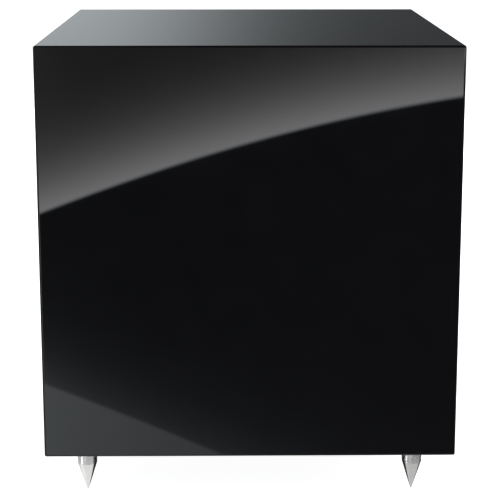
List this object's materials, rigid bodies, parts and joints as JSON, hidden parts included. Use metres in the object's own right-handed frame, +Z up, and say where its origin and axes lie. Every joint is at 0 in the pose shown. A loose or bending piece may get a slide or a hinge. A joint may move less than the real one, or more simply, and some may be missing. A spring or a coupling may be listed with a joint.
{
  "type": "subwoofer",
  "caption": "Powered subwoofer with a gloss black box cabinet on pointed metal feet, a down-firing driver and a rear amplifier panel.",
  "frame": {"origin": "on the floor, under the middle of the whole object's box", "axes": "+Z up, -Y out of the plain front face, +Y out of the amplifier panel, +X to the right seen from the front"},
  "size_m": [0.37, 0.412, 0.415],
  "materials": {
    "cabinet_lacquer": "gloss",
    "raw_mdf": "matte",
    "wadding": "matte",
    "cast_basket": "satin",
    "black_rubber": "matte",
    "cone_paper": "matte",
    "former_foil": "satin",
    "copper_winding": "satin",
    "spider_cloth": "matte",
    "plated_steel": "satin",
    "ferrite": "matte",
    "terminal_board": "satin",
    "tinned_braid": "satin",
    "black_steel": "satin",
    "plate_black": "satin",
    "sink_black": "matte",
    "galvanised_steel": "satin",
    "epoxy_black": "matte",
    "circuit_board": "satin",
    "winding_tape": "satin",
    "capacitor_sleeve": "gloss",
    "gold_plate": "polished",
    "jack_plastic": "satin",
    "bare_steel": "satin",
    "knob_plastic": "satin",
    "switch_plastic": "satin",
    "inlet_plastic": "satin",
    "nickel": "polished",
    "fuse_glass": "gloss",
    "rocker_plastic": "gloss",
    "led_lens": "gloss",
    "wire_sleeve": "satin",
    "spike_steel": "polished",
    "insert_brass": "satin"
  },
  "bodies": {
    "cabinet": {"front_panel": "cabinet_lacquer", "rear_panel": "cabinet_lacquer", "left_side_panel": "cabinet_lacquer", "right_side_panel": "cabinet_lacquer", "top_panel": "cabinet_lacquer", "bottom_baffle": "cabinet_lacquer", "window_brace": "raw_mdf", "damping_wadding": "wadding", "driver_basket": "cast_basket", "driver_gasket": "black_rubber", "surround_trim_ring": "black_rubber", "surround": "black_rubber", "spider": "spider_cloth", "top_plate": "plated_steel", "ring_magnet": "ferrite", "yoke": "plated_steel", "driver_terminals": "terminal_board", "tinsel_leads": "tinned_braid", "driver_bolts": "black_steel", "driver_t_nuts": "plated_steel", "amp_plate": "plate_black", "amp_gasket": "black_rubber", "amp_screws": "black_steel", "amp_cover": "galvanised_steel", "heatsink": "sink_black", "output_transistors": "epoxy_black", "main_board": "circuit_board", "board_brackets": "plated_steel", "mains_transformer": "winding_tape", "reservoir_capacitors": "capacitor_sleeve", "control_board": "circuit_board", "rca_barrels": "gold_plate", "rca_insulators": "jack_plastic", "potentiometers": "bare_steel", "slide_switches": "switch_plastic", "mains_inlet": "inlet_plastic", "inlet_pins": "nickel", "rocker_frame": "inlet_plastic", "status_led": "led_lens", "speaker_wires": "wire_sleeve", "spike_inserts": "insert_brass", "spike_lock_nuts": "plated_steel"},
    "cone_assembly": {"cone": "cone_paper", "dust_cap": "cone_paper", "voice_coil_former": "former_foil", "voice_coil": "copper_winding"},
    "volume_control": {"volume_knob": "knob_plastic", "volume_shaft": "bare_steel"},
    "crossover_control": {"crossover_knob": "knob_plastic", "crossover_shaft": "bare_steel"},
    "phase_lever": {"phase_lever": "switch_plastic"},
    "mode_lever": {"mode_lever": "switch_plastic"},
    "power_rocker": {"power_rocker": "rocker_plastic"},
    "fuse_drawer": {"fuse_drawer": "inlet_plastic", "fuse": "fuse_glass"},
    "spike_front_left": {"spike_front_left": "spike_steel"},
    "spike_front_right": {"spike_front_right": "spike_steel"},
    "spike_rear_left": {"spike_rear_left": "spike_steel"},
    "spike_rear_right": {"spike_rear_right": "spike_steel"}
  },
  "joints": [
    {"name": "cone_stroke", "type": "slide", "parent": "cabinet", "child": "cone_assembly", "axis": [0, 0, 1], "range_m": [-0.012, 0.012], "stiffness_N_per_m": 3500, "deforming": ["surround", "spider", "tinsel_leads"]},
    {"name": "volume_turn", "type": "hinge", "parent": "cabinet", "child": "volume_control", "pos_m": [0.074, 0.194, 0.256], "axis": [0, -1, 0], "range_deg": [-150, 150]},
    {"name": "crossover_turn", "type": "hinge", "parent": "cabinet", "child": "crossover_control", "pos_m": [0.018, 0.194, 0.256], "axis": [0, -1, 0], "range_deg": [-150, 150]},
    {"name": "phase_slide", "type": "slide", "parent": "cabinet", "child": "phase_lever", "axis": [-1, 0, 0], "range_m": [0, 0.004]},
    {"name": "mode_slide", "type": "slide", "parent": "cabinet", "child": "mode_lever", "axis": [-1, 0, 0], "range_m": [0, 0.004]},
    {"name": "power_rock", "type": "hinge", "parent": "cabinet", "child": "power_rocker", "pos_m": [-0.014, 0.191, 0.152], "axis": [-1, 0, 0], "range_deg": [0, 24]},
    {"name": "fuse_pull", "type": "slide", "parent": "cabinet", "child": "fuse_drawer", "axis": [0, 1, 0], "range_m": [0, 0.016]},
    {"name": "spike_front_left_level", "type": "slide", "parent": "cabinet", "child": "spike_front_left", "axis": [0, 0, -1], "range_m": [0, 0.01]},
    {"name": "spike_front_right_level", "type": "slide", "parent": "cabinet", "child": "spike_front_right", "axis": [0, 0, -1], "range_m": [0, 0.01]},
    {"name": "spike_rear_left_level", "type": "slide", "parent": "cabinet", "child": "spike_rear_left", "axis": [0, 0, -1], "range_m": [0, 0.01]},
    {"name": "spike_rear_right_level", "type": "slide", "parent": "cabinet", "child": "spike_rear_right", "axis": [0, 0, -1], "range_m": [0, 0.01]}
  ]
}
